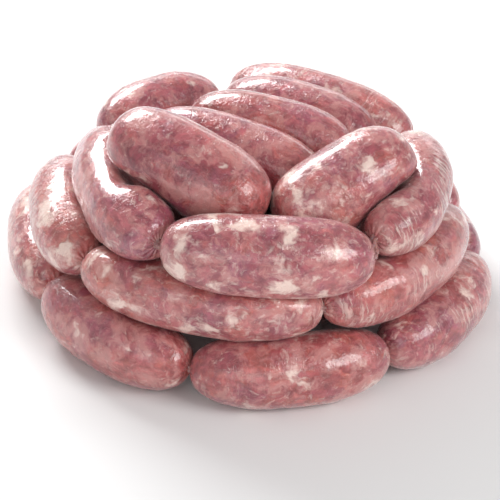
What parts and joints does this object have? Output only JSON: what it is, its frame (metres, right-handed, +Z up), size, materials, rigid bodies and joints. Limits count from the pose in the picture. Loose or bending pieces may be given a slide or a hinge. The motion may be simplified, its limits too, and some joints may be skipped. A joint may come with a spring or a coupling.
{
  "type": "string of sausage links",
  "caption": "String of fresh sausage links in natural casing, heaped in coils on the table, with the last links folded to and fro across the top.",
  "frame": {"origin": "the middle of the heap's footprint, on the table it lies on", "axes": "+Z up; -Y is the front of the heap, where three rows of links lie level one above the other; +X to the right seen from the front"},
  "size_m": [0.2572, 0.2596, 0.12],
  "materials": {
    "casing_rosy": "glossy moist casing over mottled raw meat",
    "casing_mauve": "glossy moist casing over mottled raw meat",
    "casing_pale": "glossy moist casing over mottled raw meat"
  },
  "bodies": {
    "root": {"link_01": "casing_rosy", "link_02": "casing_mauve", "link_03": "casing_pale", "link_04": "casing_rosy", "link_05": "casing_mauve", "link_06": "casing_pale", "link_07": "casing_rosy", "link_08": "casing_mauve", "link_09": "casing_pale", "link_10": "casing_rosy", "link_11": "casing_mauve", "link_12": "casing_pale", "link_13": "casing_rosy", "link_14": "casing_mauve", "link_15": "casing_pale", "link_16": "casing_rosy", "link_17": "casing_mauve", "link_18": "casing_pale", "link_19": "casing_rosy", "link_20": "casing_mauve", "link_21": "casing_pale", "link_22": "casing_rosy", "link_23": "casing_mauve", "link_24": "casing_pale", "link_25": "casing_rosy", "link_26": "casing_mauve", "link_27": "casing_pale", "link_28": "casing_rosy", "link_29": "casing_mauve", "link_30": "casing_pale"}
  },
  "joints": []
}
